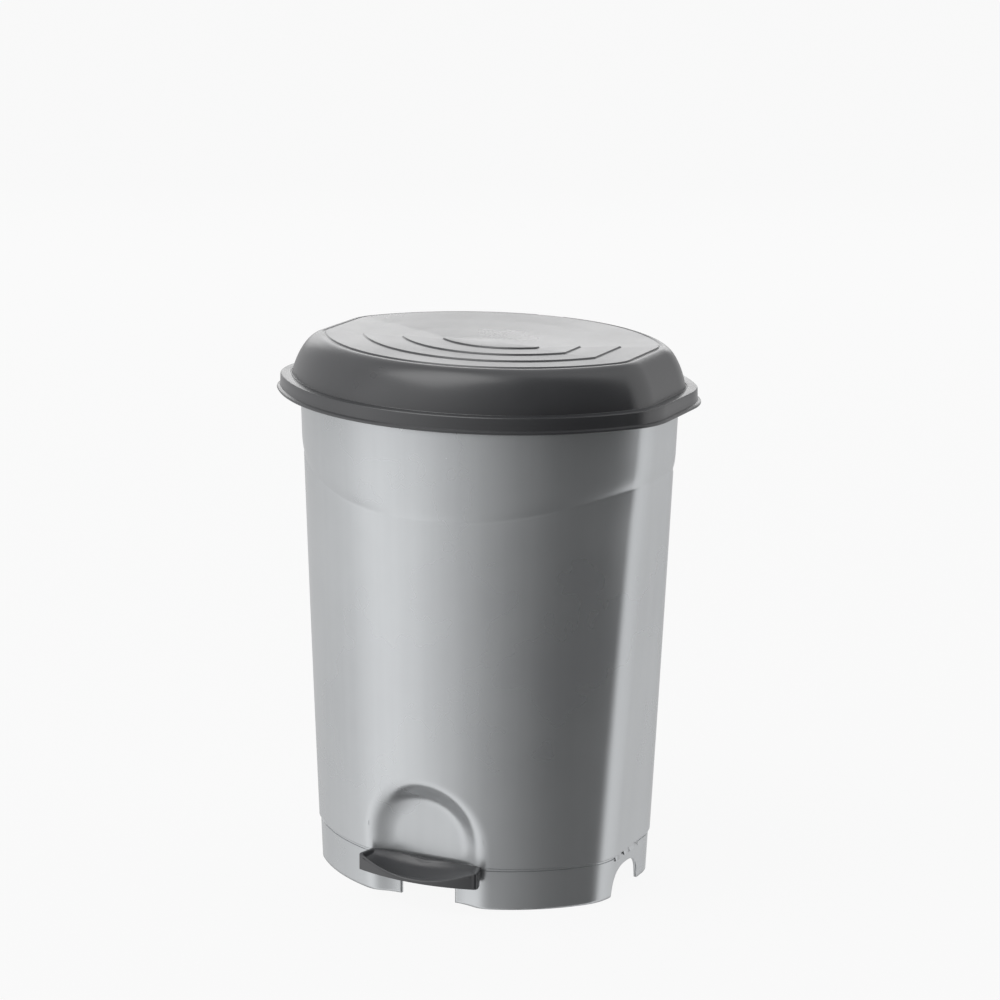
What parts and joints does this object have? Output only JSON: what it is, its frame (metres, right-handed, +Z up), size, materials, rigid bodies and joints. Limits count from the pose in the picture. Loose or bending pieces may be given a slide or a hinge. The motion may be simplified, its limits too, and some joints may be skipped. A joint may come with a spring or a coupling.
{
  "type": "pedal trash can",
  "caption": "Oval foot-pedal bin: tapered outer shell with lift-out inner bucket, domed hinged lid, and a pedal lever and wire rod that open the lid.",
  "frame": {"origin": "on the floor, under the middle of the lid's lip", "axes": "+Z up, -Y towards the pedal, +X to the right of someone facing the back of the bin from its front"},
  "size_m": [0.338, 0.29, 0.445],
  "materials": {
    "silver_plastic": "silver-grey pearl pigment, satin gloss",
    "anthracite_plastic": "anthracite, satin gloss moulded surface",
    "bucket_plastic": "dark grey, fine matt moulded texture",
    "galvanised_steel": "zinc plated, dull",
    "natural_plastic": "uncoloured polypropylene, dull"
  },
  "bodies": {
    "base": {"body_shell": "silver_plastic", "inner_bucket": "bucket_plastic", "hinge_pin_left": "galvanised_steel", "hinge_pin_right": "galvanised_steel", "rod_guide_lower": "natural_plastic", "rod_guide_upper": "natural_plastic", "lever_axle": "galvanised_steel", "axle_saddle_left": "natural_plastic", "axle_saddle_right": "natural_plastic", "axle_clip_left": "galvanised_steel", "axle_clip_right": "galvanised_steel", "saddle_screw_left_front": "galvanised_steel", "saddle_screw_left_rear": "galvanised_steel", "saddle_screw_right_front": "galvanised_steel", "saddle_screw_right_rear": "galvanised_steel"},
    "lid": {"lid": "anthracite_plastic"},
    "rod": {"push_rod": "galvanised_steel", "rod_clip_upper": "natural_plastic", "rod_clip_lower": "natural_plastic"},
    "pedal": {"pedal_tread": "anthracite_plastic", "pedal_lever": "galvanised_steel"}
  },
  "joints": [
    {"name": "lid_open", "type": "hinge", "parent": "base", "child": "lid", "pos_m": [0, 0.136, 0.394], "axis": [-1, 0, 0], "range_deg": [0, 70]},
    {"name": "rod_lift", "type": "slide", "parent": "base", "child": "rod", "axis": [0, 0.0245, 0.9997], "range_m": [0, 0.0363]},
    {"name": "pedal_press", "type": "hinge", "parent": "base", "child": "pedal", "pos_m": [0, -0.052, 0.027], "axis": [1, 0, 0], "range_deg": [0, 13.7]}
  ],
  "couplings": [
    {"joint": "rod_lift", "follows": "lid_open", "m_per_rad": 0.02963},
    {"joint": "pedal_press", "follows": "lid_open", "ratio": 0.1955}
  ]
}
